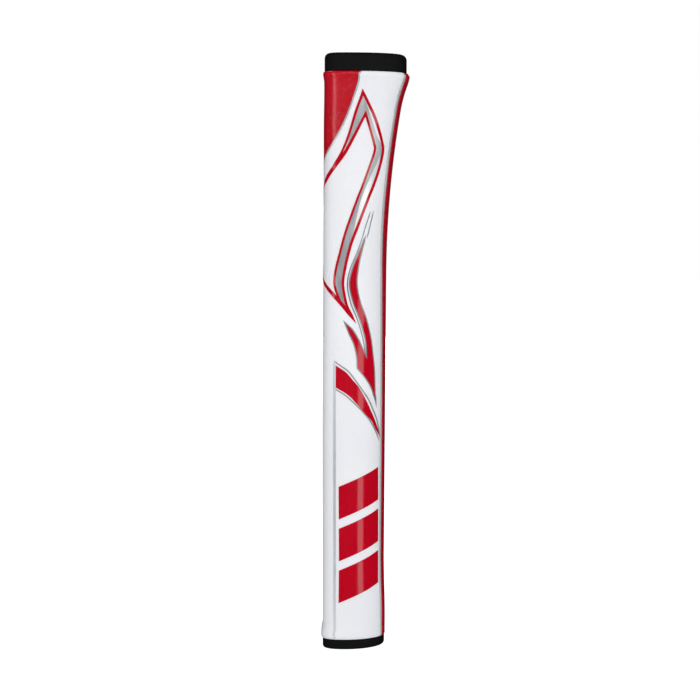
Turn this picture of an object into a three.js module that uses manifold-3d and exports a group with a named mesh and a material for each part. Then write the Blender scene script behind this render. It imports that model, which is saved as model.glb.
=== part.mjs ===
// Pistol-style putter grip: a light foam body with a tapered blind bore, a polyurethane skin in
// two colours, silver strips in the joints, rubber end caps and a threaded port in the butt.
//
// Millimetres, +Z up along the bore with the butt end on top. The flat thumb face looks to -Y
// and the rounded back to +Y. The origin is on the bore axis, at the mouth.

import * as THREE from 'three';
import { mergeVertices } from 'three/addons/utils/BufferGeometryUtils.js';
import Module from 'manifold-3d';

const wasm = await Module();
wasm.setup();

// ---- driving dimensions ----

const length = 266.7;          // 10.5 in, mouth to butt
const gap = 0.3;               // glue line between neighbouring pieces
const skinThickness = 1.0;

const mouthCapHeight = 4.35;
const mouthFillet = 1.3;
const buttCapHeight = 7.95;
const buttFillet = 2.4;
const capInset = 0.3;          // a cap's wall stands this far inside the skin's end

// the section: flat front, superellipse corners, widest line, superellipse back
const frontLow = 13.15;        // bore axis to the front face, lower half
const frontDrops = [           // the front comes in by so much between two heights
  [0.5, 100, 185],
  [0.3, 182, 212],
  [0.25, 232, 252],
];
const backLow = 14.45;         // bore axis to the back, at the mouth
const backSlope = 0.0071;
const flareStart = 170;        // height where the pistol flare begins
const flareEnd = 255;
const flareCurve = 0.00112;
const halfLow = 13.4;          // half width at the mouth
const halfGain = 1.8;          // and how much wider it is at the butt
const widestLine = -3;         // the section is widest on this line, in Y
const cornerReach = 6.2;       // how far a front corner curves in from the side
const cornerPower = 2.4;
const backPowerLow = 1.95;
const backPowerGain = 0.35;    // the back is fuller at the butt

// rolled lips of the skin at its two ends
const buttLipPeak = 257;
const buttLipBack = 1.65;
const buttLipBackStart = 243;
const buttLipFront = 0.5;
const buttLipFrontStart = 253.5;
const mouthLipPeak = 6.6;
const mouthLipFront = 0.87;
const mouthLipFrontEnd = 10.6;
const mouthSwell = 0.7;        // wide soft swell of the back above the mouth
const mouthSwellFrom = 11;
const mouthSwellTo = 42;
const lipEndShare = 0.35;      // share of a lip's height that is left at the skin's edge

// joint between the white wrap and the red back, as half widths in X at the mouth
const wrapEdge = 6.45;
const stripOuter = 6.15;
const stripInner = 5.1;
const backEdge = 4.75;
const jointGain = 1.55;        // all four are this much wider at the butt
const jointGainFrom = 110;
const jointGainTo = 220;
const stripSink = 0.15;        // the silver strip lies this far below the skin

// bore for a .580 in shaft
const boreMouth = 6.5;
const boreButt = 7.35;
const boreDepth = 249;
const weightHole = 5.5;        // through the bore's end wall, into the port
const mouthSpigotRadius = 8.5;
const mouthSpigotHeight = 6;

// threaded port
const pitch = 2;
const threadSteps = 24;        // steps of the thread in a turn
const plugCore = 6.15;
const plugCrest = 6.95;
const threadBase = 1.15;       // axial width of the plug's ridge at its root
const threadTip = 0.35;        // and at its crest
const flankClearance = 0.7;    // both flanks together
const sleeveTop = 266.5;
const sleeveBottom = 252.5;
const sleeveBarrel = 8.4;
const sleeveFlange = 9.4;
const flangeHeight = 4.5;
const seatDepth = 3.6;
const seatRadius = 8.2;
const headRadius = 7.9;
const headHeight = 2;
const headSink = 0.2;          // the head lies this far below the sleeve's rim
const washerInner = 6.5;
const washerOuter = 7.7;
const washerHeight = 0.8;
const plugBottom = 254;
const wrenchHoleRadius = 1.1;
const wrenchHoleSpacing = 8;
const wrenchHoleDepth = 1.4;

const round = 24;              // facets of a turned surface

// ---- small maths ----

function smooth(value, from, to) {
  const t = THREE.MathUtils.clamp((value - from) / (to - from), 0, 1);
  return t * t * (3 - 2 * t);
}

// Rises from one height to a peak, then rolls in towards the skin's edge.
function lip(z, start, peak, edge) {
  const rise = THREE.MathUtils.clamp((z - start) / (peak - start), 0, 1) ** 1.7;
  const roll = THREE.MathUtils.clamp((z - peak) / (edge - peak), 0, 1) ** 2;
  return rise - (1 - lipEndShare) * roll;
}

// ---- the section at a height ----

const skinBottom = mouthCapHeight + gap;
const skinTop = length - buttCapHeight - gap;

function section(z, inset) {
  const drops = frontDrops.map(([amount, from, to]) => amount * smooth(z, from, to));
  const waist = drops.reduce((sum, drop) => sum + drop);
  const flare = THREE.MathUtils.clamp(z, flareStart, flareEnd) - flareStart;
  const frontLip = buttLipFront * lip(z, buttLipFrontStart, buttLipPeak, skinTop)
    + mouthLipFront * lip(-z, -mouthLipFrontEnd, -mouthLipPeak, -skinBottom);
  const backLip = buttLipBack * lip(z, buttLipBackStart, buttLipPeak, skinTop)
    + mouthSwell * (1 - smooth(z, mouthSwellFrom, mouthSwellTo));
  const front = frontLow - waist + frontLip - inset;
  const back = backLow + backSlope * Math.min(z, flareEnd) + flareCurve * flare ** 2 + backLip - inset;
  const half = halfLow + halfGain * (z / length) ** 1.6 + (frontLip + backLip) / 2 - inset;
  const reach = cornerReach - inset * 0.8;
  const power = backPowerLow + backPowerGain * smooth(z, flareStart, flareEnd);
  return { z, front, back, half, reach, power };
}

// A point of the front corner: angle 0 on the widest line, a right angle where the flat begins.
function cornerPoint(s, angle) {
  const x = s.half - s.reach + s.reach * Math.cos(angle) ** (2 / cornerPower);
  const y = widestLine - (s.front + widestLine) * Math.sin(angle) ** (2 / cornerPower);
  return [x, y, s.z];
}

// A point of the back: angle 0 on the widest line, a right angle on the centre line.
function backPoint(s, angle) {
  const x = s.half * Math.max(Math.cos(angle), 0) ** (2 / s.power);
  const y = widestLine + (s.back - widestLine) * Math.sin(angle) ** (2 / s.power);
  return [x, y, s.z];
}

// The angle at which the back of the outer surface has the half width of a joint's edge.
function angleAt(z, mouthWidth) {
  const outer = section(z, 0);
  const width = mouthWidth + jointGain * smooth(z, jointGainFrom, jointGainTo);
  return Math.acos((width / outer.half) ** (outer.power / 2));
}

const cornerSteps = 7;
const backSteps = 10;
const right = Math.PI / 2;

// Half outline from the centre of the front to a given back angle, on the +X side.
function halfOutline(s, endAngle) {
  const points = [[0, -s.front, s.z]];
  for (let i = 0; i < cornerSteps; i += 1) {
    points.push(cornerPoint(s, right * (1 - i / cornerSteps)));
  }
  for (let i = 0; i <= backSteps; i += 1) {
    points.push(backPoint(s, endAngle * i / backSteps));
  }
  return points;
}

const mirrored = ([x, y, z]) => [-x, y, z];

// An outline closed over both sides, counter-clockwise seen from above.
function fullOutline(s) {
  const half = halfOutline(s, right);
  const otherSide = half.slice(1, -1).reverse().map(mirrored);
  return [...half, ...otherSide];
}

// ---- solids ----

function geometryFrom(points, triangles) {
  const geometry = new THREE.BufferGeometry();
  geometry.setAttribute('position', new THREE.Float32BufferAttribute(points.flat(), 3));
  geometry.setIndex(triangles.flat());
  return geometry;
}

// A closed solid through rings of points, bottom ring first, counter-clockwise from above.
// A ladder's ring is an outer row followed by the inner row backwards; other rings are convex.
function loft(rings, ladder = false) {
  const n = rings[0].length;
  const points = rings.flat();
  const triangles = [];
  for (let r = 0; r + 1 < rings.length; r += 1) {
    for (let i = 0; i < n; i += 1) {
      const a = r * n + i;
      const b = r * n + (i + 1) % n;
      triangles.push([a, b, b + n], [a, b + n, a + n]);
    }
  }
  const last = (rings.length - 1) * n;
  const ends = [];
  if (ladder) {
    for (let i = 0; i + 1 < n / 2; i += 1) {
      ends.push([i, i + 1, n - 2 - i], [i, n - 2 - i, n - 1 - i]);
    }
  } else {
    for (let i = 1; i + 1 < n; i += 1) {
      ends.push([0, i, i + 1]);
    }
  }
  for (const [a, b, c] of ends) {
    triangles.push([a, c, b], [last + a, last + b, last + c]);
  }
  return geometryFrom(points, triangles);
}

// A turned solid about the Z axis, from [radius, z] pairs.
function turned(profile) {
  const geometry = new THREE.LatheGeometry(profile.map(([r, z]) => new THREE.Vector2(r, z)), round);
  return geometry.rotateX(right);
}

function solid(geometry) {
  const bare = geometry.clone();
  bare.deleteAttribute('normal');
  bare.deleteAttribute('uv');
  const merged = mergeVertices(bare, 1e-5);
  return new wasm.Manifold(new wasm.Mesh({
    numProp: 3,
    vertProperties: merged.attributes.position.array,
    triVerts: new Uint32Array(merged.index.array),
  }));
}

function geometryOf(manifold) {
  const mesh = manifold.getMesh();
  const geometry = new THREE.BufferGeometry();
  geometry.setAttribute('position', new THREE.Float32BufferAttribute(mesh.vertProperties, 3));
  geometry.setIndex([...mesh.triVerts]);
  return geometry;
}

// Heights of the skin's rings, close together where the ends roll.
const heights = [
  skinBottom, 5.1, 5.7, mouthLipPeak, 8.4, mouthLipFrontEnd, 13, 20, 30, mouthSwellTo,
  70, 100, 125, 150, flareStart, 185, 198, 210, 220, 229, 237, buttLipBackStart, 247, 250,
  buttLipFrontStart, 255.3, buttLipPeak, 257.6, 258.1, skinTop,
];

// A wall of the skin between two columns of points, each a function of a section and a height.
function skinPanel(columns, outerInset, innerInset) {
  const rings = heights.map((z) => {
    const outer = columns(section(z, outerInset), z);
    const inner = columns(section(z, innerInset), z);
    return [...outer, ...inner.reverse()];
  });
  return loft(rings, true);
}

// Points across the back between two joint edges, from the +X side to the -X side.
function backColumns(fromWidth, toWidth, steps) {
  return (s, z) => {
    const from = fromWidth > 0 ? angleAt(z, fromWidth) : Math.PI - angleAt(z, -fromWidth);
    const to = toWidth > 0 ? angleAt(z, toWidth) : Math.PI - angleAt(z, -toWidth);
    const points = [];
    for (let i = 0; i <= steps; i += 1) {
      const angle = THREE.MathUtils.lerp(from, to, i / steps);
      points.push(angle > right ? mirrored(backPoint(s, Math.PI - angle)) : backPoint(s, angle));
    }
    return points;
  };
}

// ---- pieces ----

function foamCore() {
  const inset = skinThickness + gap;
  const body = solid(loft(heights.map((z) => fullOutline(section(z, inset)))));
  const bore = solid(turned([
    [0, 0],
    [boreMouth, 0],
    [boreButt, boreDepth],
    [weightHole, boreDepth],
    [weightHole, length],
    [0, length],
  ]));
  const spigotHole = solid(turned([
    [0, 0],
    [mouthSpigotRadius + gap, 0],
    [mouthSpigotRadius + gap, skinBottom + mouthSpigotHeight],
    [0, skinBottom + mouthSpigotHeight],
  ]));
  const sleeveHole = solid(turned([
    [0, sleeveBottom - gap],
    [sleeveBarrel + gap, sleeveBottom - gap],
    [sleeveBarrel + gap, length],
    [0, length],
  ]));
  return geometryOf(body.subtract(bore).subtract(spigotHole).subtract(sleeveHole));
}

function sideWrap() {
  const columns = (s, z) => {
    const half = halfOutline(s, angleAt(z, wrapEdge));
    const otherSide = half.slice(1).map(mirrored);
    return [...otherSide.reverse(), ...half];
  };
  return skinPanel(columns, 0, skinThickness);
}

function backStrip() {
  return skinPanel(backColumns(backEdge, -backEdge, 6), 0, skinThickness);
}

function edgeStrip(side) {
  const columns = side > 0
    ? backColumns(stripOuter, stripInner, 1)
    : backColumns(-stripInner, -stripOuter, 1);
  return skinPanel(columns, stripSink, skinThickness);
}

// A cap's rings: the wall of the skin's end, then a rounded edge down or up to the flat face.
function capRings(wallZ, faceZ, fillet) {
  const towards = Math.sign(faceZ - wallZ);
  const outline = (z, inset) => {
    const s = section(THREE.MathUtils.clamp(z, skinBottom, skinTop), capInset + inset);
    return fullOutline({ ...s, z });
  };
  const rings = [outline(wallZ, 0)];
  const steps = 5;
  for (let i = 0; i <= steps; i += 1) {
    const angle = right * i / steps;
    const z = faceZ - towards * fillet * (1 - Math.sin(angle));
    rings.push(outline(z, fillet * (1 - Math.cos(angle))));
  }
  return towards > 0 ? rings : rings.reverse();
}

function mouthCap() {
  const ring = solid(loft(capRings(mouthCapHeight, 0, mouthFillet)));
  const spigotTop = mouthCapHeight + mouthSpigotHeight;
  const spigot = solid(turned([
    [0, mouthCapHeight / 2],
    [mouthSpigotRadius, mouthCapHeight / 2],
    [mouthSpigotRadius, spigotTop - 0.5],
    [mouthSpigotRadius - 0.5, spigotTop],
    [0, spigotTop],
  ]));
  const hole = solid(turned([
    [0, -1],
    [boreMouth + 1.5, -1],
    [boreMouth, 0.5],
    [boreMouth, spigotTop + 1],
    [0, spigotTop + 1],
  ]));
  return geometryOf(ring.add(spigot).subtract(hole));
}

function buttCap() {
  const cap = solid(loft(capRings(length - buttCapHeight, length, buttFillet)));
  const flangeBottom = sleeveTop - flangeHeight - gap;
  const hole = solid(turned([
    [0, length - buttCapHeight - 1],
    [sleeveBarrel + gap, length - buttCapHeight - 1],
    [sleeveBarrel + gap, flangeBottom],
    [sleeveFlange + gap, flangeBottom],
    [sleeveFlange + gap, length + 1],
    [0, length + 1],
  ]));
  return geometryOf(cap.subtract(hole));
}

// A helical ridge about Z that passes angle 0 at height 0 and covers a stretch of heights.
function helix(innerRadius, outerRadius, innerWidth, outerWidth, fromZ, toZ) {
  const first = Math.floor(fromZ / pitch * threadSteps);
  const last = Math.ceil(toZ / pitch * threadSteps);
  const rings = [];
  for (let i = first; i <= last; i += 1) {
    const angle = 2 * Math.PI * i / threadSteps;
    const z = pitch * i / threadSteps;
    const at = (radius, height) => [radius * Math.cos(angle), radius * Math.sin(angle), z + height];
    rings.push([
      at(innerRadius, -innerWidth / 2),
      at(innerRadius, innerWidth / 2),
      at(outerRadius, outerWidth / 2),
      at(outerRadius, -outerWidth / 2),
    ]);
  }
  return solid(loft(rings));
}

const threadTaper = (threadBase - threadTip) / (plugCrest - plugCore);

function portSleeve() {
  const seat = sleeveTop - seatDepth;
  const minor = plugCore + gap;
  const major = plugCrest + gap;
  const body = solid(turned([
    [minor, sleeveBottom],
    [sleeveBarrel, sleeveBottom],
    [sleeveBarrel, sleeveTop - flangeHeight],
    [sleeveFlange, sleeveTop - flangeHeight],
    [sleeveFlange, sleeveTop - 0.3],
    [sleeveFlange - 0.3, sleeveTop],
    [seatRadius, sleeveTop],
    [seatRadius, seat],
    [minor, seat],
    [minor, sleeveBottom],
  ]));
  const buried = 0.3;
  const groove = helix(
    minor - buried,
    major,
    threadBase - threadTaper * (gap - buried) + flankClearance,
    threadTip + flankClearance - threadTaper * gap / 2,
    sleeveBottom - pitch,
    seat + pitch,
  );
  return geometryOf(body.subtract(groove));
}

function portPlug() {
  const headTop = sleeveTop - headSink;
  const headBottom = headTop - headHeight;
  const threadTop = sleeveTop - seatDepth - gap;
  const body = solid(turned([
    [0, plugBottom],
    [plugCore - 0.4, plugBottom],
    [plugCore, plugBottom + 0.4],
    [plugCore, headBottom],
    [headRadius, headBottom],
    [headRadius, headTop - 0.4],
    [headRadius - 0.4, headTop],
    [0, headTop],
  ]));
  const buried = 0.4;
  const ridge = helix(
    plugCore - buried,
    plugCrest,
    threadBase + threadTaper * buried,
    threadTip,
    plugBottom - pitch,
    threadTop + pitch,
  );
  const envelope = solid(turned([
    [0, plugBottom],
    [plugCore, plugBottom],
    [plugCrest + 0.1, plugBottom + 1],
    [plugCrest + 0.1, threadTop - 1],
    [plugCore, threadTop],
    [0, threadTop],
  ]));
  let plug = body.add(ridge.intersect(envelope));
  for (const side of [-1, 1]) {
    const drill = new THREE.CylinderGeometry(wrenchHoleRadius, wrenchHoleRadius, 2 * wrenchHoleDepth, 16);
    drill.rotateX(right);
    drill.translate(side * wrenchHoleSpacing / 2, 0, headTop);
    plug = plug.subtract(solid(drill));
  }
  return geometryOf(plug);
}

function plugWasher() {
  const bottom = sleeveTop - seatDepth + gap;
  return turned([
    [washerInner, bottom],
    [washerOuter, bottom],
    [washerOuter, bottom + washerHeight],
    [washerInner, bottom + washerHeight],
    [washerInner, bottom],
  ]);
}

// ---- materials ----

const finish = (color, roughness, metalness) => new THREE.MeshStandardMaterial({ color, roughness, metalness });

const foam = finish(0x2e2e30, 0.95, 0);
const whiteSkin = finish(0xebecf0, 0.55, 0);
const redSkin = finish(0xba001c, 0.3, 0);
const silverFilm = finish(0xaab4b9, 0.35, 0.8);
const blackRubber = finish(0x161616, 0.85, 0);
const brass = finish(0xb08d57, 0.35, 1);
const blackPlastic = finish(0x1c1c1e, 0.45, 0);

// ---- assembly ----

const grip = new THREE.Group();

function place(name, geometry, material) {
  const mesh = new THREE.Mesh(geometry, material);
  mesh.name = name;
  grip.add(mesh);
}

place('foam_core', foamCore(), foam);
place('side_wrap', sideWrap(), whiteSkin);
place('back_strip', backStrip(), redSkin);
place('edge_strip_right', edgeStrip(1), silverFilm);
place('edge_strip_left', edgeStrip(-1), silverFilm);
place('mouth_cap', mouthCap(), blackRubber);
place('butt_cap', buttCap(), blackRubber);
place('port_sleeve', portSleeve(), brass);
place('plug_washer', plugWasher(), blackRubber);
place('port_plug', portPlug(), blackPlastic);

export default grip;
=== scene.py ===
import math

import bmesh
import bpy
import numpy as np
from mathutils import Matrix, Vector
from mathutils.geometry import delaunay_2d_cdt


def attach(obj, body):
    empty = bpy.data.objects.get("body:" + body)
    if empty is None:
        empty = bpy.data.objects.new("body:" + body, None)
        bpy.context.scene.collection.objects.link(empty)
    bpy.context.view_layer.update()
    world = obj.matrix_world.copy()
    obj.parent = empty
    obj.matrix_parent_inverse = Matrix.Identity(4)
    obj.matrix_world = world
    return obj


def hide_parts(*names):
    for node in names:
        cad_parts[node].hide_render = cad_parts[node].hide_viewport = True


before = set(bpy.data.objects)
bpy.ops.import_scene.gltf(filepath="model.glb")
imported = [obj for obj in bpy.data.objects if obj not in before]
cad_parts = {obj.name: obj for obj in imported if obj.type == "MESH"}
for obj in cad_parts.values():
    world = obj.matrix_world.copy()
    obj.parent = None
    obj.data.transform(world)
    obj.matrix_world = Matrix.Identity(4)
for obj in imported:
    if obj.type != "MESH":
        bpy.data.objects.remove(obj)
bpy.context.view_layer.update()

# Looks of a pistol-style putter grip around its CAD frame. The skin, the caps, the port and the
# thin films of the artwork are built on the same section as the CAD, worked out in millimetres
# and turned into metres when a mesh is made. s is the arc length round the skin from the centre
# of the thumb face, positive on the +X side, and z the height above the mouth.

MM = 0.001

# ---- the section, as in the CAD ----

LENGTH = 266.7
GAP = 0.3
MOUTH_CAP = 4.35
BUTT_CAP = 7.95
SKIN_BOTTOM = MOUTH_CAP + GAP
SKIN_TOP = LENGTH - BUTT_CAP - GAP
CAP_INSET = 0.3
BUTT_FILLET = 2.4
MOUTH_FILLET = 1.3

FRONT_LOW = 13.15
FRONT_DROPS = ((0.5, 100, 185), (0.3, 182, 212), (0.25, 232, 252))
BACK_LOW = 14.45
BACK_SLOPE = 0.0071
FLARE = (170, 255)
FLARE_CURVE = 0.00112
HALF_LOW = 13.4
HALF_GAIN = 1.8
WIDEST_LINE = -3
CORNER_REACH = 6.2
CORNER_POWER = 2.4
BACK_POWER_LOW = 1.95
BACK_POWER_GAIN = 0.35

BUTT_LIP_PEAK = 257
BUTT_LIP_BACK = 1.65
BUTT_LIP_BACK_START = 243
BUTT_LIP_FRONT = 0.5
BUTT_LIP_FRONT_START = 253.5
MOUTH_LIP_PEAK = 6.6
MOUTH_LIP_FRONT = 0.87
MOUTH_LIP_FRONT_END = 10.6
MOUTH_SWELL = 0.7
MOUTH_SWELL_RANGE = (11, 42)
LIP_END_SHARE = 0.35

WRAP_EDGE = 6.45
STRIP_OUTER = 6.15
STRIP_INNER = 5.1
BACK_EDGE = 4.75
JOINT_GAIN = 1.55
JOINT_GAIN_RANGE = (110, 220)
STRIP_SINK = 0.15
STRIP_CROWN = 0.1
STRIP_ROUNDING = 0.12      # radius of the strip's edges
SKIN_THICKNESS = 1.0
SKIN_ROUNDING = 0.2        # radius of the skin's edges

FLAT_STEPS = 8             # points of the half outline along its flat front,
CORNER_STEPS = 40          # round its corner
BACK_STEPS = 120           # and round its back


def smooth(value, low, high):
    t = np.clip((value - low) / (high - low), 0, 1)
    return t * t * (3 - 2 * t)


def lip(z, start, peak, edge):
    """A rolled lip that swells from start to peak and falls back towards the skin's edge."""
    rise = np.clip((z - start) / (peak - start), 0, 1) ** 1.7
    roll = np.clip((z - peak) / (edge - peak), 0, 1) ** 2
    return rise - (1 - LIP_END_SHARE) * roll


def outline(z, inset=0.0):
    """X and Y of the half outline on the +X side, one row for each height."""
    z = np.clip(np.asarray(z, float), SKIN_BOTTOM, SKIN_TOP)[:, None]
    inset = np.broadcast_to(np.asarray(inset, float).reshape(-1, 1), z.shape)
    waist = sum(drop * smooth(z, low, high) for drop, low, high in FRONT_DROPS)
    flare = np.clip(z, *FLARE) - FLARE[0]
    front_lip = (BUTT_LIP_FRONT * lip(z, BUTT_LIP_FRONT_START, BUTT_LIP_PEAK, SKIN_TOP)
                 + MOUTH_LIP_FRONT * lip(-z, -MOUTH_LIP_FRONT_END, -MOUTH_LIP_PEAK, -SKIN_BOTTOM))
    back_lip = (BUTT_LIP_BACK * lip(z, BUTT_LIP_BACK_START, BUTT_LIP_PEAK, SKIN_TOP)
                + MOUTH_SWELL * (1 - smooth(z, *MOUTH_SWELL_RANGE)))
    slope = BACK_SLOPE * np.minimum(z, FLARE[1])
    front = FRONT_LOW - waist + front_lip - inset
    back = BACK_LOW + slope + FLARE_CURVE * flare**2 + back_lip - inset
    half = HALF_LOW + HALF_GAIN * (z / LENGTH) ** 1.6 + (front_lip + back_lip) / 2 - inset
    reach = CORNER_REACH - inset * 0.8
    power = BACK_POWER_LOW + BACK_POWER_GAIN * smooth(z, *FLARE)
    flat = np.arange(FLAT_STEPS) / FLAT_STEPS
    corner = math.pi / 2 * (1 - np.arange(CORNER_STEPS) / CORNER_STEPS)
    rear = math.pi / 2 * np.arange(BACK_STEPS + 1) / BACK_STEPS
    cosine = np.clip(np.cos(rear), 0, 1)
    x = [
        (half - reach) * flat,
        half - reach + reach * np.cos(corner) ** (2 / CORNER_POWER),
        half * cosine ** (2 / power),
    ]
    y = [
        -front + 0 * flat,
        WIDEST_LINE - (front + WIDEST_LINE) * np.sin(corner) ** (2 / CORNER_POWER),
        WIDEST_LINE + (back - WIDEST_LINE) * np.sin(rear) ** (2 / power),
    ]
    return np.hstack(x), np.hstack(y)


def arcs(x, y):
    """Arc length from the centre of the front to each point of each outline."""
    steps = np.hypot(np.diff(x, axis=1), np.diff(y, axis=1))
    return np.hstack([np.zeros((len(x), 1)), np.cumsum(steps, axis=1)])


def half_girth(z):
    return arcs(*outline(z))[:, -1]


def on_skin(s, z):
    """Points of the skin in millimetres; s may run on past the centre of the back."""
    s, z = np.broadcast_arrays(np.asarray(s, float), np.asarray(z, float))
    x, y = outline(z)
    along = arcs(x, y)
    girth = along[:, -1]
    s = (s + girth) % (2 * girth) - girth
    k = np.clip((along <= np.abs(s)[:, None]).sum(1) - 1, 0, along.shape[1] - 2)
    rows = np.arange(len(s))
    share = (np.abs(s) - along[rows, k]) / (along[rows, k + 1] - along[rows, k])
    px = x[rows, k] + share * (x[rows, k + 1] - x[rows, k])
    py = y[rows, k] + share * (y[rows, k + 1] - y[rows, k])
    return np.stack([np.where(s < 0, -px, px), py, z], 1)


def skin_points(s, z, lift):
    """Points lifted off the skin along its normal by lift millimetres."""
    s, z, lift = np.broadcast_arrays(*(np.asarray(v, float) for v in (s, z, lift)))
    small = 0.08
    inside = np.clip(z, SKIN_BOTTOM + small, SKIN_TOP - small)
    round_it = on_skin(s + small, inside) - on_skin(s - small, inside)
    up_it = on_skin(s, inside + small) - on_skin(s, inside - small)
    normal = np.cross(round_it, up_it)
    normal /= np.linalg.norm(normal, axis=1)[:, None]
    return on_skin(s, z) + normal * lift[:, None]


def joint_arc(z, mouth_width):
    """The arc length of a joint's edge at each height, from its half width at the mouth."""
    x, y = outline(z)
    along = arcs(x, y)
    rear = slice(FLAT_STEPS + CORNER_STEPS, None)
    widths = mouth_width + JOINT_GAIN * smooth(z, *JOINT_GAIN_RANGE)
    return np.array([np.interp(-w, -a[rear], b[rear]) for w, a, b in zip(widths, x, along)])


def side(y, z):
    """(s, z) of the point of the +X flank at Y and Z."""
    xs, ys = outline([z])
    flank = slice(FLAT_STEPS, None)
    return float(np.interp(y, ys[0, flank], arcs(xs, ys)[0, flank])), z


def thumb(x, z):
    """(s, z) of a point of the flat thumb face."""
    return float(x), z


# ---- meshes ----


def mesh_object(name, points, faces, uv=None, crease=math.radians(35)):
    """An object from points in millimetres, smooth but for edges sharper than crease."""
    mesh = bpy.data.meshes.new(name)
    mesh.from_pydata([[c * MM for c in p] for p in points], [], faces)
    if uv is not None:
        layer = mesh.uv_layers.new(name="UVMap")
        corners = np.zeros(len(mesh.loops), np.int32)
        mesh.loops.foreach_get("vertex_index", corners)
        layer.data.foreach_set("uv", (np.asarray(uv, float)[corners] * MM).ravel())
    mesh.polygons.foreach_set("use_smooth", [True] * len(mesh.polygons))
    mesh.set_sharp_from_angle(angle=crease)
    obj = bpy.data.objects.new(name, mesh)
    bpy.context.scene.collection.objects.link(obj)
    return obj


def finish_piece(obj, material, body="grip", replaces=()):
    obj.data.materials.clear()
    obj.data.materials.append(material)
    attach(obj, body)
    if replaces:
        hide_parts(*replaces)
    return obj


def spaced(low, high, step, edge):
    """Places from low to high, close together within edge of both ends."""
    turn = np.linspace(0, math.pi / 2, 5)[:-1]
    start = low + edge * (1 - np.cos(turn))
    count = max(2, round((high - low - 2 * edge) / step))
    middle = np.linspace(low + edge, high - edge, count + 1)
    return np.concatenate([start, middle, (low + high - start)[::-1]])


def rolled(distance, edge):
    """How far a surface has rolled in at a distance from its edge."""
    into = np.clip(edge - distance, 0, edge)
    return edge - np.sqrt(edge**2 - into**2)


def skin_panel(name, low_arc, high_arc, step, edge, sink=0.0, crown=0.0):
    """A closed wall of skin between two arc lengths that depend on the height. Its edges are
    rounded to the radius edge, and its face lies sink below the skin with a hump of crown."""
    zs = spaced(SKIN_BOTTOM, SKIN_TOP, 1.25, edge)
    low, high = low_arc(zs), high_arc(zs)
    across = spaced(0, 1, step / float((high - low).mean()), edge / float((high - low).mean()))
    columns = len(across)
    s = low[:, None] + (high - low)[:, None] * across
    from_side = np.minimum(across, 1 - across) * (high - low)[:, None]
    from_end = np.minimum(zs - SKIN_BOTTOM, SKIN_TOP - zs)[:, None]
    hump = crown * (1 - (2 * across - 1) ** 2)
    depth = sink + rolled(from_side, edge) + rolled(from_end, edge) - hump
    z = np.repeat(zs, columns)
    outer = skin_points(s.ravel(), z, -depth.ravel()).reshape(len(zs), columns, 3)
    inner = skin_points(s.ravel(), z, -SKIN_THICKNESS).reshape(len(zs), columns, 3)
    rings = np.concatenate([outer, inner[:, ::-1]], axis=1)
    uv = np.stack([s, np.repeat(zs[:, None], columns, 1)], 2)
    uv = np.concatenate([uv, uv[:, ::-1]], axis=1).reshape(-1, 2)
    n = 2 * columns
    faces = []
    for r in range(len(zs) - 1):
        for i in range(n):
            a, b = r * n + i, r * n + (i + 1) % n
            faces.append((a, b, b + n, a + n))
    last = (len(zs) - 1) * n
    for i in range(columns - 1):
        faces.append((i, n - 1 - i, n - 2 - i, i + 1))
        faces.append((last + i, last + i + 1, last + n - 2 - i, last + n - 1 - i))
    return mesh_object(name, rings.reshape(-1, 3), faces, uv, math.radians(50))


def turned(name, profile, segments=96, closed=True):
    """A surface turned about Z from [radius, z] pairs; a closed profile joins its ends."""
    points, faces = [], []
    n = len(profile)
    for k in range(segments):
        angle = 2 * math.pi * k / segments
        points += [(r * math.cos(angle), r * math.sin(angle), z) for r, z in profile]
    for k in range(segments):
        here, there = k * n, (k + 1) % segments * n
        for i in range(n if closed else n - 1):
            j = (i + 1) % n
            faces.append((here + i, there + i, there + j, here + j))
    obj = mesh_object(name, points, faces)
    merge_axis(obj)
    return obj


def merge_axis(obj):
    """Joins the points that lie together and drops what that leaves without area."""
    bm = bmesh.new()
    bm.from_mesh(obj.data)
    bmesh.ops.remove_doubles(bm, verts=bm.verts, dist=1e-7)
    bmesh.ops.dissolve_degenerate(bm, dist=1e-8, edges=bm.edges)
    bmesh.ops.recalc_face_normals(bm, faces=bm.faces)
    bm.to_mesh(obj.data)
    bm.free()
    obj.data.set_sharp_from_angle(angle=math.radians(35))


def bevelled(profile, radius, steps=3):
    """A closed profile with its corners rounded by short arcs."""
    result = []
    n = len(profile)
    for i in range(n):
        here = Vector(profile[i])
        before = (Vector(profile[i - 1]) - here)
        after = (Vector(profile[(i + 1) % n]) - here)
        if here.x < 1e-6:
            result.append(tuple(here))
            continue
        reach = min(radius, before.length * 0.45, after.length * 0.45)
        a = here + before.normalized() * reach
        b = here + after.normalized() * reach
        for k in range(steps + 1):
            t = k / steps
            result.append(tuple(a * (1 - t) ** 2 + here * 2 * t * (1 - t) + b * t**2))
    return result


def add_to(obj, other):
    """Joins another mesh object's faces into obj and deletes it."""
    bm = bmesh.new()
    bm.from_mesh(obj.data)
    bm.from_mesh(other.data)
    bm.to_mesh(obj.data)
    bm.free()
    bpy.data.objects.remove(other)


# ---- artwork outlines in (s, z) ----


def curve(*points, step=0.7):
    """A smooth line through points, sampled every step millimetres."""
    p = np.array(points, float)
    p = np.vstack([2 * p[0] - p[1], p, 2 * p[-1] - p[-2]])
    line = []
    for a, b, c, d in zip(p, p[1:], p[2:], p[3:]):
        count = max(1, round(float(np.linalg.norm(c - b)) / step))
        t = (np.arange(count) / count)[:, None]
        line.append(0.5 * (2 * b + (c - a) * t + (2 * a - 5 * b + 4 * c - d) * t**2
                           + (3 * b - a - 3 * c + d) * t**3))
    line.append(p[-2:-1])
    return np.vstack(line)


def path(*lines):
    """Lines end to end, with a corner where they meet."""
    return np.vstack([lines[0], *(line[1:] for line in lines[1:])])


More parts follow.
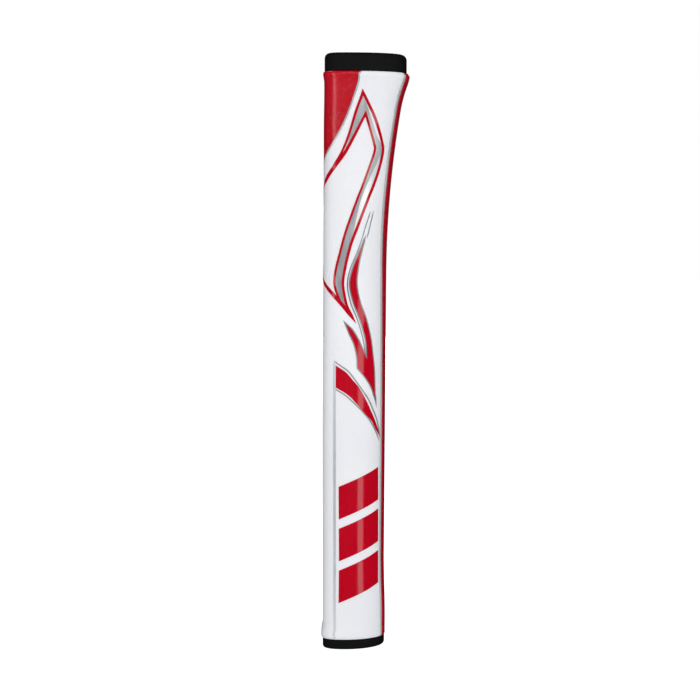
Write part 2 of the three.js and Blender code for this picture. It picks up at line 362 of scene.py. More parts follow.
def offset(line, distance, loop=False):
    """The line moved to its left, with mitred corners."""
    step = np.diff(line, axis=0, append=line[:1]) if loop else np.diff(line, axis=0)
    step /= np.maximum(np.linalg.norm(step, axis=1)[:, None], 1e-9)
    normal = np.stack([-step[:, 1], step[:, 0]], 1)
    if loop:
        before, after = np.roll(normal, 1, axis=0), normal
    else:
        before, after = np.vstack([normal[:1], normal]), np.vstack([normal, normal[-1:]])
    middle = before + after
    middle /= np.maximum(np.linalg.norm(middle, axis=1)[:, None], 1e-9)
    stretch = 1 / np.clip((middle * after).sum(1), 0.25, 1)
    return line + middle * (np.broadcast_to(distance, len(line)) * stretch)[:, None]


def ribbon(line, widths, start=0.0, end=0.0):
    """The outline of a ribbon along a line. widths are spread evenly along it, and it tapers to
    a point over the last start and end millimetres."""
    along = np.concatenate([[0], np.cumsum(np.linalg.norm(np.diff(line, axis=0), axis=1))])
    width = np.interp(along / along[-1], np.linspace(0, 1, len(widths)), widths)
    for distance, length in ((along, start), (along[-1] - along, end)):
        if length:
            width = width * np.clip(distance / length, 0.04, 1) ** 0.8
    return np.vstack([offset(line, -width / 2), offset(line, width / 2)[::-1]])


def mirrored(outline_points):
    return (outline_points * [-1, 1])[::-1]


def area(p):
    x, y = p[:, 0], p[:, 1]
    return 0.5 * float(np.sum(x * np.roll(y, -1) - np.roll(x, -1) * y))


def inside(points, polygon):
    x, y = points[:, 0], points[:, 1]
    result = np.zeros(len(points), bool)
    for (x0, y0), (x1, y1) in zip(polygon, np.roll(polygon, -1, axis=0)):
        crosses = (y0 > y) != (y1 > y)
        with np.errstate(divide="ignore", invalid="ignore"):
            at = (x1 - x0) * (y - y0) / (y1 - y0) + x0
        result ^= crosses & (x < at)
    return result


def film(name, polygon, material, lift=0.12):
    """A thin closed film bonded to the skin, from its outline in (s, z). lift is the height of its
    face above the skin, and so it settles which of two films that cross lies on top."""
    if area(polygon) < 0:
        polygon = polygon[::-1]
    low, high = polygon.min(0), polygon.max(0)
    rows = np.arange(low[1], high[1], 2.0)
    if high[1] > BUTT_LIP_BACK_START + 5:
        share_left = (1 - np.linspace(0, 0.97, 22)) ** 1.6
        lip_rows = SKIN_TOP - (SKIN_TOP - BUTT_LIP_BACK_START) * share_left
        rows = np.concatenate([rows[rows < BUTT_LIP_BACK_START], lip_rows])
    grid = np.stack(np.meshgrid(np.arange(low[0], high[0], 0.9), rows), -1).reshape(-1, 2)
    grid = grid[inside(grid, polygon)]
    far = np.array([np.min(np.hypot(*(polygon - g).T)) > 0.3 for g in grid], bool)
    everything = np.vstack([polygon, grid[far]]) if len(grid) else polygon
    flat, _, faces, _, _, _ = delaunay_2d_cdt(
        [Vector(p) for p in everything], [], [list(range(len(polygon)))], 1, 1e-6)
    flat = np.array([tuple(v) for v in flat])
    used = {}
    for a in (f[i] for f in faces for i in range(3)):
        used.setdefault(a, len(used))
    flat = flat[list(used)]
    faces = [[used[i] for i in f] for f in faces]
    edges = {}
    for f in faces:
        for a, b in zip(f, f[1:] + f[:1]):
            edges[(a, b)] = True
    n = len(flat)
    rim = [(a, b) for a, b in edges if (b, a) not in edges]
    drop = rolled(np.minimum(flat[:, 1] - SKIN_BOTTOM, SKIN_TOP - flat[:, 1]), SKIN_ROUNDING)
    top = skin_points(flat[:, 0], flat[:, 1], lift - drop)
    base = skin_points(flat[:, 0], flat[:, 1], -0.06 - drop)
    solid = [tuple(f) for f in faces] + [tuple(i + n for i in reversed(f)) for f in faces]
    solid += [(b, a, a + n, b + n) for a, b in rim]
    obj = mesh_object(name, np.vstack([top, base]), solid, np.vstack([flat, flat]))
    return finish_piece(obj, material)


def films(name, polygon, material, lift=0.12):
    """The same film on both flanks."""
    film(name + "_right", polygon, material, lift)
    film(name + "_left", mirrored(polygon), material, lift)


# ---- materials ----


class Shader:
    """A material's node tree, with short ways to add what these materials need."""

    def __init__(self, name, colour, roughness, metallic=0.0, specular=0.5):
        self.material = bpy.data.materials.new(name)
        self.material.use_nodes = True
        self.tree = self.material.node_tree
        self.shader = self.tree.nodes["Principled BSDF"]
        self.shader.inputs["Base Color"].default_value = (*colour, 1)
        self.shader.inputs["Roughness"].default_value = roughness
        self.shader.inputs["Metallic"].default_value = metallic
        self.shader.inputs["Specular IOR Level"].default_value = specular
        self.coordinates = self.node("ShaderNodeTexCoord")
        self.height = None

    def node(self, kind, **settings):
        node = self.tree.nodes.new(kind)
        for key, value in settings.items():
            setattr(node, key, value)
        return node

    def link(self, out, into):
        self.tree.links.new(out, into)

    def place(self, source, scale, turn=0.0):
        mapping = self.node("ShaderNodeMapping")
        mapping.inputs["Scale"].default_value = scale
        mapping.inputs["Rotation"].default_value = (0, 0, turn)
        self.link(self.coordinates.outputs[source], mapping.inputs["Vector"])
        return mapping.outputs["Vector"]

    def noise(self, source, scale, detail=3.0):
        noise = self.node("ShaderNodeTexNoise")
        noise.inputs["Scale"].default_value = 1.0
        noise.inputs["Detail"].default_value = detail
        self.link(self.place(source, scale), noise.inputs["Vector"])
        return noise.outputs["Fac"]

    def cells(self, source, scale, turn=0.0, randomness=1.0, metric="EUCLIDEAN"):
        dimensions = "2D" if source == "UV" else "3D"
        cells = self.node("ShaderNodeTexVoronoi", voronoi_dimensions=dimensions, distance=metric)
        cells.inputs["Scale"].default_value = 1.0
        cells.inputs["Randomness"].default_value = randomness
        self.link(self.place(source, scale, turn), cells.inputs["Vector"])
        return cells.outputs["Distance"]

    def ramp(self, value, *stops):
        """A colour or grey for each place of a value: stops are (place, colour)."""
        ramp = self.node("ShaderNodeValToRGB")
        elements = ramp.color_ramp.elements
        while len(elements) < len(stops):
            elements.new(0.5)
        for element, (place, colour) in zip(elements, stops):
            element.position = place
            element.color = (*(colour if hasattr(colour, "__len__") else (colour,) * 3), 1)
        self.link(value, ramp.inputs["Fac"])
        return ramp.outputs["Color"]

    def multiply(self, a, b):
        mix = self.node("ShaderNodeMix", data_type="RGBA", blend_type="MULTIPLY")
        mix.inputs["Factor"].default_value = 1.0
        self.link(a, mix.inputs["A"])
        self.link(b, mix.inputs["B"])
        return mix.outputs["Result"]

    def colour(self, value):
        self.link(value, self.shader.inputs["Base Color"])

    def roughness(self, value):
        self.link(value, self.shader.inputs["Roughness"])

    def bump(self, value, distance, strength=1.0):
        """Adds a height in millimetres to the bumps so far."""
        bump = self.node("ShaderNodeBump")
        bump.inputs["Distance"].default_value = distance * MM
        bump.inputs["Strength"].default_value = strength
        self.link(value, bump.inputs["Height"])
        if self.height is not None:
            self.link(self.height, bump.inputs["Normal"])
        self.height = bump.outputs["Normal"]
        self.link(self.height, self.shader.inputs["Normal"])


def per_mm(*cells):
    """A mapping scale for features of so many millimetres, in metres."""
    return tuple(1000 / c for c in cells)


WHITE = (0.80, 0.81, 0.845)
RED = (0.47, 0.0, 0.010)
SILVER = (0.50, 0.53, 0.55)
BLACK = (0.0045, 0.0045, 0.005)


def white_skin():
    m = Shader("white_polyurethane", WHITE, 0.5, specular=0.4)
    diamonds = m.cells("UV", per_mm(1.1, 1.1, 1), math.pi / 4, 0.0, "CHEBYCHEV")
    grain = m.noise("Object", per_mm(0.35, 0.35, 0.35))
    cloud = m.noise("Object", per_mm(28, 28, 60), 2.0)
    # Painted shade: the colour darkens to 0.80 at the centre of each diamond, where the bump below
    # sinks the skin's pits.
    pits = m.ramp(diamonds, (0.0, 0.80), (0.20, 1.0))
    tone = m.ramp(cloud, (0.3, (0.775, 0.785, 0.825)), (0.7, (0.835, 0.845, 0.875)))
    m.colour(m.multiply(tone, pits))
    m.roughness(m.ramp(grain, (0.3, 0.42), (0.75, 0.62)))
    m.bump(m.ramp(diamonds, (0.0, 0.0), (0.30, 1.0)), 0.09)
    m.bump(grain, 0.02, 0.6)
    return m.material


def red_skin():
    m = Shader("red_polyurethane", RED, 0.23, specular=0.5)
    pits = m.cells("UV", per_mm(1.7, 1.7, 1), math.pi / 4, 0.9)
    grain = m.noise("Object", per_mm(1.6, 1.6, 1.6), 2.0)
    cloud = m.noise("Object", per_mm(20, 20, 45), 2.0)
    # Painted shade: the colour darkens to 0.55 in the pits that the bump below sinks into the skin.
    dark = m.ramp(pits, (0.06, 0.55), (0.14, 1.0))
    tone = m.ramp(cloud, (0.3, (0.42, 0.0, 0.008)), (0.7, (0.52, 0.001, 0.013)))
    m.colour(m.multiply(tone, dark))
    m.roughness(m.ramp(grain, (0.3, 0.16), (0.75, 0.30)))
    m.bump(m.ramp(pits, (0.04, 0.0), (0.16, 1.0)), 0.025)
    m.bump(grain, 0.04, 0.6)
    return m.material


def red_film():
    m = Shader("red_gloss_film", RED, 0.12, specular=0.36)
    streaks = m.noise("Object", per_mm(0.8, 0.8, 14), 2.0)
    cloud = m.noise("Object", per_mm(24, 24, 50), 2.0)
    m.colour(m.ramp(cloud, (0.3, (0.44, 0.0, 0.009)), (0.7, (0.50, 0.0, 0.013))))
    m.roughness(m.ramp(streaks, (0.35, 0.09), (0.75, 0.16)))
    m.bump(m.noise("Object", per_mm(0.9, 0.9, 0.9)), 0.006, 0.5)
    return m.material


def silver(name, dark, light):
    """A satin silver that varies between two greys."""
    m = Shader(name, SILVER, 0.4, metallic=0.35)
    brushed = m.noise("Object", per_mm(0.25, 0.25, 6), 3.0)
    cloud = m.noise("Object", per_mm(9, 9, 22), 2.0)
    m.colour(m.multiply(
        m.ramp(cloud, (0.35, dark), (0.68, light)),
        m.ramp(brushed, (0.3, 0.86), (0.7, 1.0))))
    m.roughness(m.ramp(brushed, (0.3, 0.26), (0.75, 0.44)))
    m.bump(brushed, 0.01, 0.5)
    return m.material


def black_rubber():
    m = Shader("black_rubber", BLACK, 0.75, specular=0.2)
    grain = m.noise("Object", per_mm(0.3, 0.3, 0.3), 4.0)
    specks = m.cells("Object", per_mm(0.9, 0.9, 0.9), 0.0, 1.0)
    dust = m.ramp(specks, (0.02, (0.03, 0.029, 0.028)), (0.08, BLACK))
    m.colour(m.multiply(dust, m.ramp(grain, (0.3, 0.8), (0.7, 1.0))))
    m.roughness(m.ramp(grain, (0.3, 0.66), (0.75, 0.86)))
    m.bump(grain, 0.05, 0.8)
    return m.material


def foam():
    m = Shader("eva_foam", (0.03, 0.03, 0.032), 0.95, specular=0.2)
    cells = m.cells("Object", per_mm(0.5, 0.5, 0.5))
    m.colour(m.ramp(cells, (0.1, (0.018, 0.018, 0.02)), (0.6, (0.045, 0.045, 0.048))))
    m.bump(cells, 0.08)
    return m.material


def brass():
    m = Shader("turned_brass", (0.60, 0.42, 0.17), 0.34, metallic=0.55)
    rings = m.noise("Object", per_mm(40, 40, 0.18), 2.0)
    m.colour(m.ramp(rings, (0.35, (0.50, 0.34, 0.13)), (0.7, (0.66, 0.48, 0.22))))
    m.roughness(m.ramp(rings, (0.3, 0.22), (0.7, 0.38)))
    m.bump(rings, 0.01)
    return m.material


def nylon():
    m = Shader("black_nylon", (0.013, 0.013, 0.014), 0.42)
    grain = m.noise("Object", per_mm(0.22, 0.22, 0.22))
    m.colour(m.ramp(grain, (0.3, (0.010, 0.010, 0.011)), (0.7, (0.018, 0.018, 0.019))))
    m.roughness(m.ramp(grain, (0.3, 0.36), (0.75, 0.52)))
    m.bump(grain, 0.02, 0.6)
    return m.material


white_mat = white_skin()
red_mat = red_skin()
gloss_mat = red_film()
silver_mat = silver("silver_film", (0.37, 0.39, 0.41), (0.64, 0.67, 0.69))
# Painted light: the edge strips get a lighter copy of the silver, which brightens them where the
# flank turns away from the lamps.
strip_mat = silver("silver_strip", (0.60, 0.62, 0.63), (0.80, 0.82, 0.83))
line_mat = silver("silver_line", (0.20, 0.21, 0.23), (0.36, 0.38, 0.40))
stripe_mat = silver("silver_stripe", (0.48, 0.50, 0.52), (0.68, 0.70, 0.72))
# Painted highlight: a pale copy of the silver for the bright streak in the loop, standing in for
# the light the silver catches there as well as its lighter print.
glint_mat = silver("silver_glint", (0.84, 0.86, 0.88), (0.92, 0.94, 0.96))
rubber_mat = black_rubber()
foam_mat = foam()
brass_mat = brass()
nylon_mat = nylon()

# ---- skin ----


def build_skin():
    wrap = skin_panel("side_wrap_skin", lambda z: -joint_arc(z, WRAP_EDGE),
                      lambda z: joint_arc(z, WRAP_EDGE), 0.55, SKIN_ROUNDING)
    finish_piece(wrap, white_mat, replaces=["side_wrap"])
    back = skin_panel("back_strip_skin", lambda z: joint_arc(z, BACK_EDGE),
                      lambda z: 2 * half_girth(z) - joint_arc(z, BACK_EDGE), 0.55, SKIN_ROUNDING)
    finish_piece(back, red_mat, replaces=["back_strip"])
    for sign, name in ((1, "edge_strip_right"), (-1, "edge_strip_left")):
        ends = [lambda z: joint_arc(z, STRIP_OUTER), lambda z: joint_arc(z, STRIP_INNER)]
        if sign < 0:
            ends = [lambda z: -joint_arc(z, STRIP_INNER), lambda z: -joint_arc(z, STRIP_OUTER)]
        strip = skin_panel(name + "_film", *ends, 0.15, STRIP_ROUNDING, STRIP_SINK, STRIP_CROWN)
        finish_piece(strip, strip_mat, replaces=[name])
    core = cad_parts["foam_core"]
    core.data.materials.clear()
    core.data.materials.append(foam_mat)


# ---- caps ----


def cap_outline(z_section, inset):
    """The section's full outline at a height as 2-D points, counter-clockwise from above."""
    x, y = outline([z_section], CAP_INSET + inset)
    x, y = x[0], y[0]
    keep = np.concatenate([np.arange(0, FLAT_STEPS, 2), np.arange(FLAT_STEPS, len(x), 2)])
    x, y = x[keep], y[keep]
    return np.stack([np.concatenate([x, -x[-2:0:-1]]), np.concatenate([y, y[-2:0:-1]])], 1)


def build_cap(name, z_section, wall_z, face_z, fillet, hole, spigot, node):
    """A cap: wall, rounded edge and flat face down into a round hole made of [radius, z] steps.
    spigot is the same for the inner end, from the hole back out to the wall."""
    up = 1 if face_z > wall_z else -1
    wall = cap_outline(z_section, 0)
    n = len(wall)
    rings = [np.column_stack([wall, np.full(n, wall_z)])]
    for angle in np.linspace(0, math.pi / 2, 9):
        ring_z = face_z - up * fillet * (1 - math.sin(angle))
        ring = cap_outline(z_section, fillet * (1 - math.cos(angle)))
        rings.append(np.column_stack([ring, np.full(n, ring_z)]))
    edge = rings[-1]
    directions = edge[:, :2] / np.linalg.norm(edge[:, :2], axis=1)[:, None]
    first = hole[0][0]
    for share in (0.35, 0.7):
        between = edge[:, :2] * (1 - share) + directions * first * share
        rings.append(np.column_stack([between, edge[:, 2]]))
    for radius, z in [*hole, *spigot]:
        rings.append(np.column_stack([directions * radius, np.full(n, z)]))
    faces = []
    for r in range(len(rings)):
        q = (r + 1) % len(rings)
        for i in range(n):
            j = (i + 1) % n
            quad = (r * n + i, r * n + j, q * n + j, q * n + i)
            faces.append(quad if up > 0 else quad[::-1])
    cap = mesh_object(name, np.vstack(rings), faces)
    finish_piece(cap, rubber_mat, replaces=[node])


def build_caps():
    build_cap("butt_cap_rubber", SKIN_TOP, LENGTH - BUTT_CAP, LENGTH, BUTT_FILLET,
              [(10.0, LENGTH), (9.8, LENGTH - 0.1), (9.7, LENGTH - 0.35), (9.7, 261.7),
               (8.7, 261.7)],
              [(8.7, LENGTH - BUTT_CAP)], "butt_cap")
    build_cap("mouth_cap_rubber", SKIN_BOTTOM, MOUTH_CAP, 0, MOUTH_FILLET,
              [(8.0, 0), (7.4, 0.15), (6.9, 0.6), (6.5, 1.4), (6.5, 10.2)],
              [(8.0, 10.2), (8.5, 9.7), (8.5, MOUTH_CAP)], "mouth_cap")


# ---- threaded port ----

PITCH = 2.0
CORE = 6.15
CREST = 6.95
SLEEVE_TOP = 266.5
SLEEVE_BOTTOM = 252.5
SLEEVE_BARREL = 8.4        # radii of the sleeve's barrel and flange
SLEEVE_FLANGE = 9.4
FLANGE_BOTTOM = 262.0
SEAT = SLEEVE_TOP - 3.6
SEAT_RADIUS = 8.2
HEAD_TOP = SLEEVE_TOP - 0.2
HEAD_BOTTOM = HEAD_TOP - 2.0
HEAD_RADIUS = 7.9
HEAD_FACE = HEAD_TOP - 0.25
WASHER_INNER = 6.5
WASHER_OUTER = 7.7
WASHER_HEIGHT = 0.8
PLUG_BOTTOM = 254.0
WRENCH_HOLE_SPACING = 8.0
WRENCH_HOLE_RADIUS = 1.1
WRENCH_HOLE_DEPTH = 1.4


def thread(name, root, crest, root_width, crest_width, low, high, steps=72):
    """A helical ridge that passes angle 0 at whole pitches and fades in and out at its ends."""
    first, last = math.ceil(low / PITCH * steps), math.floor(high / PITCH * steps)
    fade = steps / 3
    points, faces = [], []
    for i in range(first, last + 1):
        angle, z = 2 * math.pi * i / steps, PITCH * i / steps
        full = min(1.0, (i - first) / fade, (last - i) / fade)
        reach = root + (crest - root) * max(full, 0.05)
        for radius, width in ((root, -root_width), (reach, -crest_width), (reach, crest_width),
                              (root, root_width)):
            points.append((radius * math.cos(angle), radius * math.sin(angle), z + width / 2))
    rings = last - first + 1
    for r in range(rings - 1):
        for i in range(4):
            j = (i + 1) % 4
            faces.append((4 * r + i, 4 * r + j, 4 * r + 4 + j, 4 * r + 4 + i))
    faces.append((3, 2, 1, 0))
    faces.append(tuple(4 * (rings - 1) + i for i in range(4)))
    obj = mesh_object(name, points, faces)
    merge_axis(obj)
    return obj


def build_port():
    major, minor = CREST + GAP, CORE + GAP
    sleeve = turned("port_sleeve_brass", bevelled([
        (major, SLEEVE_BOTTOM), (SLEEVE_BARREL, SLEEVE_BOTTOM), (SLEEVE_BARREL, FLANGE_BOTTOM),
        (SLEEVE_FLANGE, FLANGE_BOTTOM), (SLEEVE_FLANGE, SLEEVE_TOP), (SEAT_RADIUS, SLEEVE_TOP),
        (SEAT_RADIUS, SEAT), (major, SEAT)], 0.2))
    add_to(sleeve, thread("sleeve_thread", major + 0.2, minor, 1.3, 0.45,
                          SLEEVE_BOTTOM + 1.9, SEAT + 0.1))
    finish_piece(sleeve, brass_mat, replaces=["port_sleeve"])
    plug = turned("port_plug_nylon", bevelled([
        (0, PLUG_BOTTOM), (5.7, PLUG_BOTTOM), (CORE, PLUG_BOTTOM + 0.4), (CORE, HEAD_BOTTOM),
        (HEAD_RADIUS, HEAD_BOTTOM), (HEAD_RADIUS, HEAD_TOP), (6.9, HEAD_TOP), (6.7, HEAD_FACE),
        (0, HEAD_FACE)], 0.25), closed=False)
    for sign in (-1, 1):
        drill_hole(plug, sign * WRENCH_HOLE_SPACING / 2, WRENCH_HOLE_RADIUS, WRENCH_HOLE_DEPTH)
    add_to(plug, thread("plug_thread", CORE - 0.2, CREST, 1.3, 0.4, PLUG_BOTTOM + 0.6, SEAT - 0.8))
    finish_piece(plug, nylon_mat, "plug", ["port_plug"])
    low, high = SEAT + GAP, SEAT + GAP + WASHER_HEIGHT
    washer = turned("plug_washer_rubber", bevelled([
        (WASHER_INNER, low), (WASHER_OUTER, low), (WASHER_OUTER, high), (WASHER_INNER, high)], 0.3))
    finish_piece(washer, rubber_mat, "washer", ["plug_washer"])


def drill_hole(obj, x, radius, depth):
    """A blind wrench hole down into the plug's head."""
    drill = turned("drill", [
        (0, HEAD_FACE - depth), (radius, HEAD_FACE - depth + 0.3), (radius, HEAD_FACE - 0.2),
        (radius + 0.4, HEAD_FACE + 0.2), (radius + 0.4, HEAD_FACE + 1), (0, HEAD_FACE + 1)],
        32, closed=False)
    drill.location.x = x * MM
    cut = obj.modifiers.new("cut", "BOOLEAN")
    cut.operation = "DIFFERENCE"
    cut.object = drill
    cut.solver = "EXACT"
    bpy.context.view_layer.update()
    depsgraph = bpy.context.evaluated_depsgraph_get()
    shape = bpy.data.meshes.new_from_object(obj.evaluated_get(depsgraph))
    obj.modifiers.clear()
    obj.data = shape
    obj.data.set_sharp_from_angle(angle=math.radians(35))
    bpy.data.objects.remove(drill)


# ---- artwork ----


def butt_panel():
    """The red zone round the front of the butt, down to a V on the thumb face."""
    edge = path(
        curve(side(4.4, 258.4), side(2.4, 252.6), side(0.1, 245.7), side(-3.3, 237.0),
              side(-7.3, 229.2), side(-10.6, 223.8), thumb(7.5, 216.1), thumb(3.5, 210.1),
              thumb(0, 205.5)))
    across = np.linspace(-edge[0, 0], edge[0, 0], 60)[:, None]
    top = np.hstack([across, np.full_like(across, edge[0, 1])])
    other = (edge * [-1, 1])[::-1]
    film("butt_panel", np.vstack([edge, other[1:], top[1:-1]]), red_mat, 0.06)
    films("butt_panel_edge", np.vstack([offset(edge, -0.05), offset(edge, 0.6)[::-1]]),
          silver_mat, 0.14)


def upper_loop():
    """Two thin red lines that rise to a point and fall again, with silver between them."""
    outer_left = curve(thumb(0, 199.0), thumb(5, 202.0), side(-12.0, 209.0), side(-9.7, 213.7),
                       side(-7.6, 217.6), side(-4.4, 223.0), side(-1.2, 230.9), side(2.2, 241.8),
                       side(4.9, 249.2))
    outer_right = curve(side(4.9, 249.2), side(7.2, 244.6), side(9.8, 239.2), side(11.7, 233.8),
                        side(13.2, 228.4), side(13.8, 223.6), side(11.9, 215.3), side(9.5, 208.3),
                        side(7.0, 202.0), side(2.0, 188.8), side(-0.6, 181.8), side(-2.8, 172.8),
                        side(-3.9, 165.8), side(-3.3, 160.2), side(-2.2, 155.4), side(-0.4, 151.7),
                        side(1.7, 148.0))
    inner_left = curve(side(-11.9, 209.3), side(-9.4, 214.2), side(-6.9, 217.6), side(-3.0, 222.8),
                       side(1.5, 230.9), side(6.1, 239.9))
    inner_right = curve(side(6.1, 239.9), side(8.1, 233.2), side(9.8, 227.0), side(10.1, 223.6),
                        side(7.3, 215.2), side(4.6, 207.8), side(2.3, 202.0), side(-2.4, 188.8),
                        side(-5.1, 179.1), side(-7.1, 170.9), side(-7.6, 164.9), side(-6.3, 160.1),
                        side(-4.7, 156.7))
    silver_out = path(
        curve(side(-3.9, 223.2), side(-0.8, 230.9), side(2.6, 241.8), side(4.9, 248.4)),
        curve(side(4.9, 248.4), side(6.6, 244.0), side(8.1, 239.7), side(10.1, 233.2),
              side(11.8, 228.9), side(13.2, 225.0), side(11.9, 215.3), side(7.0, 202.0),
              side(2.0, 188.8), side(-2.8, 172.8), side(-3.9, 165.8), side(-3.3, 160.2),
              side(-2.2, 155.4)))
    silver_in = path(
        curve(side(-2.2, 155.4), side(-4.7, 156.7), side(-6.3, 160.1), side(-7.6, 164.9),
              side(-7.1, 170.9), side(-5.1, 179.1), side(-2.4, 188.8), side(2.3, 202.0),
              side(7.3, 215.2), side(10.1, 223.6), side(9.8, 227.0), side(8.1, 233.2),
              side(6.1, 240.5)),
        curve(side(6.1, 240.5), side(1.0, 230.9), side(-3.6, 223.0), side(-3.9, 223.2)))
    films("loop_silver", path(silver_out, silver_in)[:-1], silver_mat, 0.10)
    # Painted highlight: a pale silver film where the loop's silver shows a bright streak, partly
    # its print's lighter tone and partly the light it catches.
    glint = path(
        curve(side(12.6, 222.0), side(9.2, 214.4), side(5.4, 205.6), side(3.2, 199.0),
              side(1.7, 192.5), side(0.7, 186.2)),
        curve(side(0.7, 186.2), side(3.0, 192.6), side(6.6, 202.0), side(9.8, 210.4),
              side(11.9, 217.0), side(12.6, 222.0)))
    films("loop_glint", glint[:-1], glint_mat, 0.12)
    outer = ribbon(path(outer_left, outer_right), [0.95, 1.0, 1.3, 1.35, 1.25, 1.15], end=4)
    films("loop_outer", outer, gloss_mat, 0.14)
    inner = ribbon(path(inner_left, inner_right), [1.8, 1.15, 1.0, 1.05, 1.05], start=1, end=2)
    films("loop_inner", inner, gloss_mat, 0.15)
    tail = curve(thumb(0, 173.2), thumb(5, 170.7), side(-12.3, 165.7), side(-9.8, 162.0),
                 side(-6.8, 158.6), side(-3.2, 154.5), side(-0.4, 150.7), side(1.9, 147.5))
    films("loop_tail", ribbon(tail, [1.2, 1.5, 1.7, 1.7], end=6), gloss_mat, 0.13)


def fork():
    """A long and a short blade that run together into one tip, edged with silver."""
    long_tip, notch, short_tip = side(5.7, 184.8), side(6.8, 131.4), side(-2.6, 147.1)
    heel, end_tip = side(2.7, 127.4), side(10.3, 114.0)
    red = path(
        curve(long_tip, side(3.0, 177.9), side(0.4, 171.2), side(-0.7, 164.4), side(0.9, 156.8),
              side(3.2, 150.7), side(5.1, 144.9), side(6.5, 138.8), notch),
        curve(notch, side(4.9, 135.5), side(2.7, 140.3), side(0.3, 144.3), short_tip),
        curve(short_tip, side(-0.8, 142.7), side(1.2, 138.1), side(2.4, 132.8), heel),
        curve(heel, side(6.3, 123.0), side(8.7, 118.9), end_tip),
        curve(end_tip, side(10.2, 119.0), side(9.9, 127.0), side(9.3, 132.8), side(8.6, 138.9),
              side(7.4, 144.9), side(5.9, 150.6), side(3.6, 156.8), side(2.1, 164.4),
              side(2.6, 171.2), side(3.9, 177.9), long_tip))[:-1]
    films("fork_red", red, gloss_mat, 0.15)
    films("fork_silver", offset(red, -0.55, loop=True), line_mat, 0.09)
    tail = curve(side(9.7, 119.6), side(10.5, 114.4), side(11.1, 109.3))
    films("fork_tail", ribbon(tail, [0.5, 1.1, 0.5], end=3), line_mat, 0.10)
    beside = curve(side(8.4, 197.2), side(6.2, 190.6), side(4.5, 184.9), side(2.8, 180.0),
                   side(-0.7, 171.3), side(-1.9, 164.2), side(-0.3, 156.1), side(2.1, 150.2),
                   side(4.0, 144.4), side(5.4, 138.4), side(6.1, 132.3))
    films("fork_line", ribbon(beside, [0.45, 0.55, 0.5], start=2, end=4), line_mat,
          0.12)
    spear = curve(side(9.7, 197.4), side(8.2, 191.1), side(6.7, 185.0))
    films("spear_line", ribbon(spear, [0.45, 0.45], start=2, end=2), line_mat, 0.12)


def flame():
    """The broad red stroke that starts square at the pinstripe and sweeps back to a point."""
    upper = curve(side(-7.1, 128.7), side(-2.5, 125.6), side(0.4, 122.2),
                  side(3.2, 118.8), side(6.4, 113.0), side(8.6, 108.0), side(10.4, 103.7),
                  side(11.9, 99.0), side(12.6, 95.8))
    lower = curve(side(12.6, 95.8), side(10.7, 99.6), side(8.7, 103.7), side(5.9, 106.8),
                  side(2.6, 110.9), side(-0.2, 114.1), side(-3.0, 116.4), side(-7.1, 118.8))
    films("flame_red", path(upper, lower), gloss_mat, 0.15)
    above = curve(side(-7.4, 130.4), side(-5.5, 128.9), side(-1.7, 126.2), side(1.5, 122.2),
                  side(4.7, 117.6), side(7.6, 113.0), side(9.6, 108.3), side(11.3, 103.7),
                  side(12.2, 99.0), side(12.7, 95.3))
    below = curve(side(-7.2, 118.0), side(-3.4, 115.7), side(-0.4, 113.2), side(2.8, 110.0),
                  side(5.7, 106.8), side(8.0, 103.9), side(10.5, 99.2), side(12.4, 94.0))
    films("flame_line_above", ribbon(above, [0.5, 0.6, 0.6, 0.6], end=3), line_mat,
          0.12)
    films("flame_line_below", ribbon(below, [0.5, 0.55, 0.6, 0.6], end=3), line_mat,
          0.12)


def pinstripe():
    """The silver line along the front edge of each flank, from the flame down to the mouth."""
    line = curve(*(side(-7.7, z) for z in (5.2, 9, 13, 30, 60, 95, 131.5)), step=2)
    films("pinstripe", ribbon(line, [1.25, 1.25], end=3), stripe_mat, 0.12)


def bars():
    """Three plain slanting bars of equal height, one above the other."""
    low_s, high_s = side(-5.8, 60)[0], side(11.9, 60)[0]
    slope, height, between, bottom = 0.42, 14.8, 4.2, 21.4
    corners = np.array([(low_s, 0), (high_s, slope * (high_s - low_s))])
    for k in range(3):
        low = corners + [0, bottom + k * (height + between)]
        high = low[::-1] + [0, height]
        edge = path(*(curve(a, b) for a, b in zip([*low, *high], [*low[1:], *high, low[0]])))
        films(f"bar_{k + 1}", edge[:-1], gloss_mat, 0.15)


# ---- camera, lights, floor ----


def build_camera():
    distance, lens = 0.725, 82.25
    target = Vector((0, -0.76 * MM, 134.6 * MM))
    tilt = math.radians(4.1)
    camera = bpy.data.objects.new("camera", bpy.data.cameras.new("camera"))
    camera.data.lens = lens
    camera.data.sensor_width = 36
    camera.location = target + distance * Vector((math.cos(tilt), 0, math.sin(tilt)))
    camera.rotation_euler = (target - camera.location).to_track_quat("-Z", "Y").to_euler()
    bpy.context.scene.collection.objects.link(camera)
    bpy.context.scene.camera = camera


def softbox(name, bearing, distance, height, size, power, reflected=True):
    """An area light that looks at the grip's middle; bearing is from +X towards +Y."""
    light = bpy.data.lights.new(name, "AREA")
    light.shape = "RECTANGLE"
    light.size, light.size_y = size
    light.energy = power
    obj = bpy.data.objects.new(name, light)
    angle = math.radians(bearing)
    obj.location = (distance * math.cos(angle), distance * math.sin(angle), height)
    toward = Vector((0, 0, LENGTH / 2 * MM)) - obj.location
    obj.rotation_euler = toward.to_track_quat("-Z", "Y").to_euler()
    obj.visible_camera = False
    obj.visible_glossy = reflected
    bpy.context.scene.collection.objects.link(obj)


FILL = 0.26                # strength of the white world as a light
SURROUNDINGS = 0.01        # and as the room that glossy pieces mirror


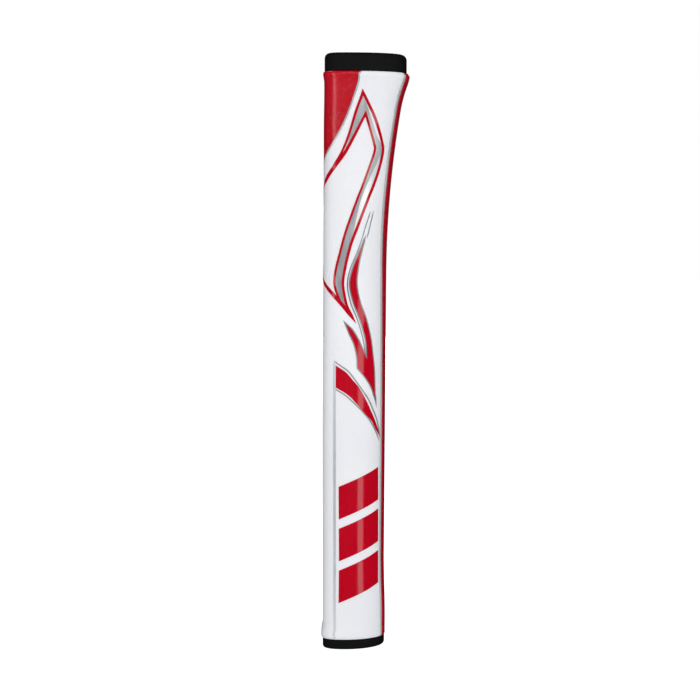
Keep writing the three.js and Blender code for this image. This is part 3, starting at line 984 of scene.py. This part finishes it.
def build_stage():
    """A white sweep for the camera, which the glossy pieces reflect as a dim room."""
    scene = bpy.context.scene
    scene.view_settings.view_transform = "Standard"
    world = bpy.data.worlds.new("studio")
    world.use_nodes = True
    tree = world.node_tree
    background = tree.nodes["Background"]
    background.inputs["Color"].default_value = (1, 1, 1, 1)
    rays = tree.nodes.new("ShaderNodeLightPath")
    strength = FILL
    for ray, change in (("Is Camera Ray", 1.0 - FILL), ("Is Glossy Ray", SURROUNDINGS - FILL)):
        step = tree.nodes.new("ShaderNodeMath")
        step.operation = "MULTIPLY_ADD"
        tree.links.new(rays.outputs[ray], step.inputs[0])
        step.inputs[1].default_value = change
        if isinstance(strength, float):
            step.inputs[2].default_value = strength
        else:
            tree.links.new(strength, step.inputs[2])
        strength = step.outputs[0]
    tree.links.new(strength, background.inputs["Strength"])
    scene.world = world
    softbox("strip_right", 37, 1.1, 0.16, (0.26, 1.5), 3.8)
    softbox("strip_left", -33, 1.1, 0.16, (0.22, 1.5), 3.2)
    softbox("overhead", 10, 1.2, 1.2, (1.0, 1.0), 3)
    softbox("front_fill", 0, 2.2, 0.3, (2.6, 1.6), 29.5, reflected=False)
    softbox("side_right", 75, 1.6, 0.3, (1.2, 1.6), 4.5, reflected=False)
    softbox("side_left", -75, 1.6, 0.3, (1.2, 1.6), 4.6, reflected=False)
    softbox("back_fill", 180, 2.2, 0.3, (2.0, 1.6), 34, reflected=False)
    bpy.ops.mesh.primitive_circle_add(
        vertices=64, radius=6, fill_type="NGON", location=(0, 0, -0.2 * MM))
    floor = bpy.context.object
    floor.name = "floor"
    floor.visible_glossy = False
    floor.visible_diffuse = False
    pale = Shader("pale_floor", (0.90, 0.90, 0.90), 0.6, specular=0.1)
    pale.shader.inputs["Emission Color"].default_value = (1, 1, 1, 1)
    pale.shader.inputs["Emission Strength"].default_value = 0.88
    floor.data.materials.append(pale.material)


build_camera()
build_skin()
build_caps()
build_port()
butt_panel()
upper_loop()
fork()
flame()
pinstripe()
bars()
build_stage()
